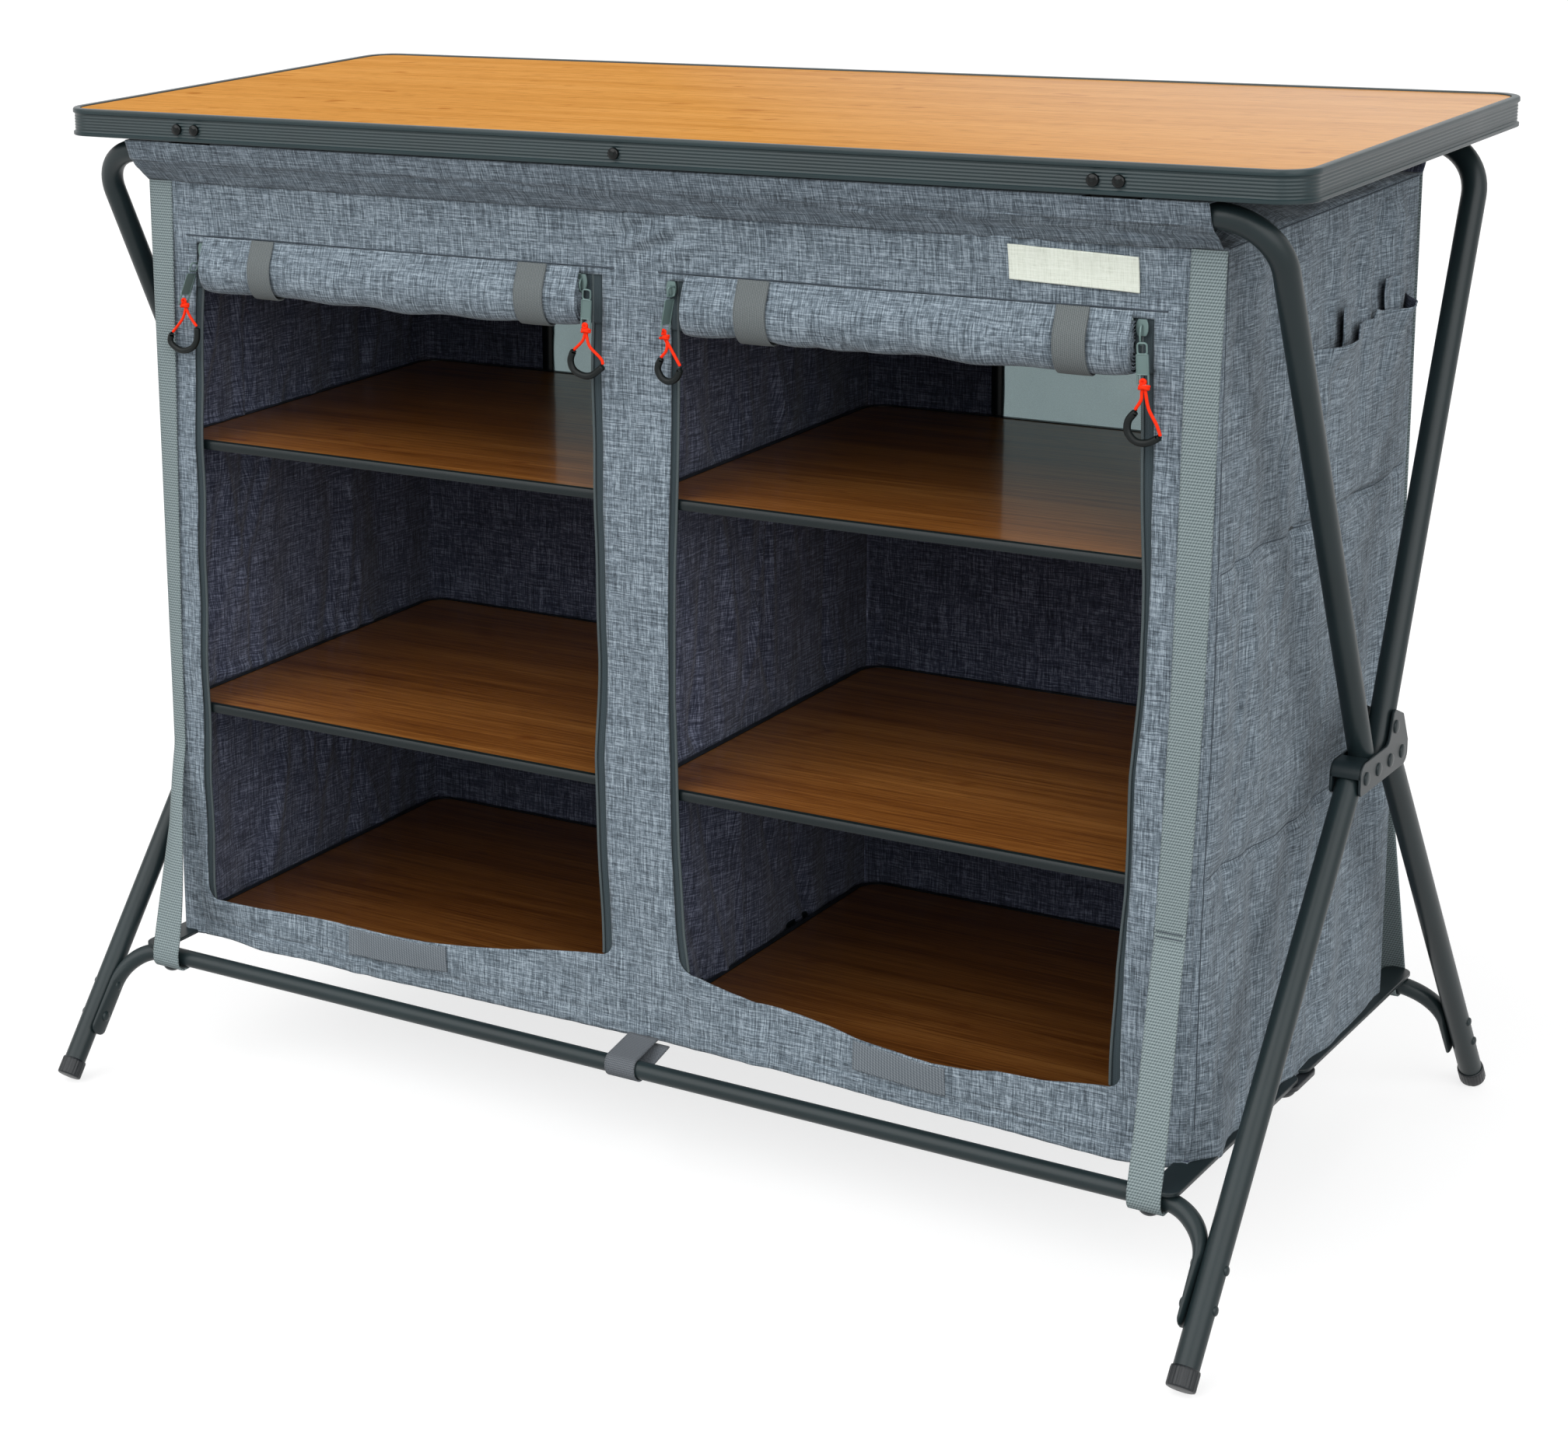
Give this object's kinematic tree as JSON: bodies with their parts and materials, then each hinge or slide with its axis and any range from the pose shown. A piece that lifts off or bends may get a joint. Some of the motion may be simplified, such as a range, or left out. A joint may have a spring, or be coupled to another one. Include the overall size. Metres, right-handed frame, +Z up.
{
  "type": "fabric camp kitchen cupboard",
  "caption": "Folding camp kitchen: a tube frame carrying a worktop over a zipped fabric cupboard with shelf boards and rolled-up doors.",
  "frame": {"origin": "centre of the bounding box on the floor under the four feet", "axes": "+X to the right along the width, -Y toward the doors and the user, +Z up"},
  "size_m": [1.03, 0.6334, 0.817],
  "materials": {
    "coated_steel": "satin dark grey-green powder coat",
    "bracket_steel": "satin near-black coat on pressed steel",
    "black_plastic": "moulded matte black",
    "rim_aluminium": "dark anodised or coated extrusion, ribbed face",
    "worktop_laminate": "warm bamboo-coloured wood-grain laminate, semi-gloss",
    "board_laminate": "darker wood-grain laminate with a grey edge binding",
    "grey_cloth": "woven grey polyester",
    "webbing": "ribbed grey-green webbing",
    "elastic": "ribbed warm grey elastic",
    "zinc": "dull zinc casting; orange cord and black grip in the looks",
    "label_cloth": "pale woven tape, bare"
  },
  "bodies": {
    "cupboard": {"rear_top_frame": "coated_steel", "hinge_bracket_left": "bracket_steel", "hinge_bracket_right": "bracket_steel", "front_panel": "grey_cloth", "back_panel": "grey_cloth", "side_panel_left": "grey_cloth", "side_panel_right": "grey_cloth", "divider_panel": "grey_cloth", "floor_panel": "grey_cloth", "roof_panel": "grey_cloth", "door_roll_left": "grey_cloth", "door_roll_right": "grey_cloth", "roll_tie_left_outer": "elastic", "roll_tie_left_inner": "elastic", "roll_tie_right_inner": "elastic", "roll_tie_right_outer": "elastic", "front_strap_left": "webbing", "front_strap_right": "webbing", "rear_strap_left": "webbing", "rear_strap_right": "webbing", "bare_label": "label_cloth", "floor_board_left": "board_laminate", "floor_board_right": "board_laminate", "lower_shelf_board_left": "board_laminate", "lower_shelf_board_right": "board_laminate", "upper_shelf_board_left": "board_laminate", "upper_shelf_board_right": "board_laminate"},
    "front_upper": {"front_top_frame": "coated_steel"},
    "worktop": {"worktop_board": "worktop_laminate", "worktop_rim": "rim_aluminium", "front_clip_left": "black_plastic", "front_clip_right": "black_plastic", "rear_clip_left": "black_plastic", "rear_clip_right": "black_plastic"},
    "front_legs": {"front_leg_left": "coated_steel", "front_leg_right": "coated_steel", "front_base_bar": "coated_steel", "front_foot_cap_left": "black_plastic", "front_foot_cap_right": "black_plastic"},
    "rear_legs": {"rear_leg_left": "coated_steel", "rear_leg_right": "coated_steel", "rear_base_bar": "coated_steel", "rear_foot_cap_left": "black_plastic", "rear_foot_cap_right": "black_plastic"},
    "rail_bolt_left": {"rail_bolt_left": "bracket_steel"},
    "rail_front_left": {"rail_front_left": "coated_steel"},
    "rail_link_left": {"rail_link_left": "coated_steel"},
    "rail_rear_left": {"rail_rear_left": "coated_steel"},
    "zip_slider_left_outer": {"zip_slider_left_outer": "zinc"},
    "zip_pull_left_outer": {"zip_pull_left_outer": "zinc"},
    "zip_slider_left_inner": {"zip_slider_left_inner": "zinc"},
    "zip_pull_left_inner": {"zip_pull_left_inner": "zinc"},
    "rail_bolt_right": {"rail_bolt_right": "bracket_steel"},
    "rail_front_right": {"rail_front_right": "coated_steel"},
    "rail_link_right": {"rail_link_right": "coated_steel"},
    "rail_rear_right": {"rail_rear_right": "coated_steel"},
    "zip_slider_right_outer": {"zip_slider_right_outer": "zinc"},
    "zip_pull_right_outer": {"zip_pull_right_outer": "zinc"},
    "zip_slider_right_inner": {"zip_slider_right_inner": "zinc"},
    "zip_pull_right_inner": {"zip_pull_right_inner": "zinc"}
  },
  "joints": [
    {"name": "front_upper_fold", "type": "hinge", "parent": "cupboard", "child": "front_upper", "pos_m": [0, 0.003, 0.357], "axis": [-1, 0, 0], "range_deg": [0, 48]},
    {"name": "worktop_tip", "type": "hinge", "parent": "cupboard", "child": "worktop", "pos_m": [0, 0.2047, 0.7835], "axis": [-1, 0, 0], "range_deg": [0, 96]},
    {"name": "front_legs_fold", "type": "hinge", "parent": "cupboard", "child": "front_legs", "pos_m": [0, -0.022, 0.357], "axis": [1, 0, 0], "range_deg": [0, 16.32]},
    {"name": "rear_legs_fold", "type": "hinge", "parent": "cupboard", "child": "rear_legs", "pos_m": [0, 0.053, 0.357], "axis": [-1, 0, 0], "range_deg": [0, 48]},
    {"name": "rail_bolt_rock_right", "type": "hinge", "parent": "front_legs", "child": "rail_bolt_right", "pos_m": [0.431, -0.23082, 0.101], "axis": [-1, 0, 0], "range_deg": [0, 16.32]},
    {"name": "rail_front_swing_right", "type": "hinge", "parent": "rail_bolt_right", "child": "rail_front_right", "pos_m": [0.431, -0.23082, 0.1098], "axis": [0, 0, 1], "range_deg": [0, 75.84]},
    {"name": "rail_link_swing_right", "type": "hinge", "parent": "rail_front_right", "child": "rail_link_right", "pos_m": [0.431, -0.01061, 0.1098], "axis": [0, 0, -1], "range_deg": [0, 75.84]},
    {"name": "rail_rear_swing_right", "type": "hinge", "parent": "rail_link_right", "child": "rail_rear_right", "pos_m": [0.431, 0.01938, 0.1098], "axis": [0, 0, -1], "range_deg": [0, 75.84]},
    {"name": "zip_slide_right_inner", "type": "slide", "parent": "cupboard", "child": "zip_slider_right_inner", "axis": [0, 0, -1], "range_m": [0, 0.5]},
    {"name": "zip_pull_lift_right_inner", "type": "hinge", "parent": "zip_slider_right_inner", "child": "zip_pull_right_inner", "pos_m": [0.038, -0.2, 0.69515], "axis": [-1, 0, 0], "range_deg": [0, 150]},
    {"name": "zip_slide_right_outer", "type": "slide", "parent": "cupboard", "child": "zip_slider_right_outer", "axis": [0, 0, -1], "range_m": [0, 0.5]},
    {"name": "zip_pull_lift_right_outer", "type": "hinge", "parent": "zip_slider_right_outer", "child": "zip_pull_right_outer", "pos_m": [0.3965, -0.2, 0.69515], "axis": [-1, 0, 0], "range_deg": [0, 150]},
    {"name": "rail_bolt_rock_left", "type": "hinge", "parent": "front_legs", "child": "rail_bolt_left", "pos_m": [-0.431, -0.23082, 0.101], "axis": [-1, 0, 0], "range_deg": [0, 16.32]},
    {"name": "rail_front_swing_left", "type": "hinge", "parent": "rail_bolt_left", "child": "rail_front_left", "pos_m": [-0.431, -0.23082, 0.1098], "axis": [0, 0, -1], "range_deg": [0, 75.84]},
    {"name": "rail_link_swing_left", "type": "hinge", "parent": "rail_front_left", "child": "rail_link_left", "pos_m": [-0.431, -0.01061, 0.1098], "axis": [0, 0, 1], "range_deg": [0, 75.84]},
    {"name": "rail_rear_swing_left", "type": "hinge", "parent": "rail_link_left", "child": "rail_rear_left", "pos_m": [-0.431, 0.01938, 0.1098], "axis": [0, 0, 1], "range_deg": [0, 75.84]},
    {"name": "zip_slide_left_inner", "type": "slide", "parent": "cupboard", "child": "zip_slider_left_inner", "axis": [0, 0, -1], "range_m": [0, 0.5]},
    {"name": "zip_pull_lift_left_inner", "type": "hinge", "parent": "zip_slider_left_inner", "child": "zip_pull_left_inner", "pos_m": [-0.038, -0.2, 0.69515], "axis": [-1, 0, 0], "range_deg": [0, 150]},
    {"name": "zip_slide_left_outer", "type": "slide", "parent": "cupboard", "child": "zip_slider_left_outer", "axis": [0, 0, -1], "range_m": [0, 0.5]},
    {"name": "zip_pull_lift_left_outer", "type": "hinge", "parent": "zip_slider_left_outer", "child": "zip_pull_left_outer", "pos_m": [-0.3965, -0.2, 0.69515], "axis": [-1, 0, 0], "range_deg": [0, 150]}
  ],
  "couplings": [
    {"joint": "worktop_tip", "follows": "front_upper_fold", "ratio": 2},
    {"joint": "front_legs_fold", "follows": "front_upper_fold", "ratio": 0.34},
    {"joint": "rear_legs_fold", "follows": "front_upper_fold", "ratio": 1},
    {"joint": "rail_bolt_rock_right", "follows": "front_upper_fold", "ratio": 0.34},
    {"joint": "rail_front_swing_right", "follows": "front_upper_fold", "ratio": 1.58},
    {"joint": "rail_link_swing_right", "follows": "front_upper_fold", "ratio": 1.58},
    {"joint": "rail_rear_swing_right", "follows": "front_upper_fold", "ratio": 1.58},
    {"joint": "rail_bolt_rock_left", "follows": "front_upper_fold", "ratio": 0.34},
    {"joint": "rail_front_swing_left", "follows": "front_upper_fold", "ratio": 1.58},
    {"joint": "rail_link_swing_left", "follows": "front_upper_fold", "ratio": 1.58},
    {"joint": "rail_rear_swing_left", "follows": "front_upper_fold", "ratio": 1.58}
  ]
}
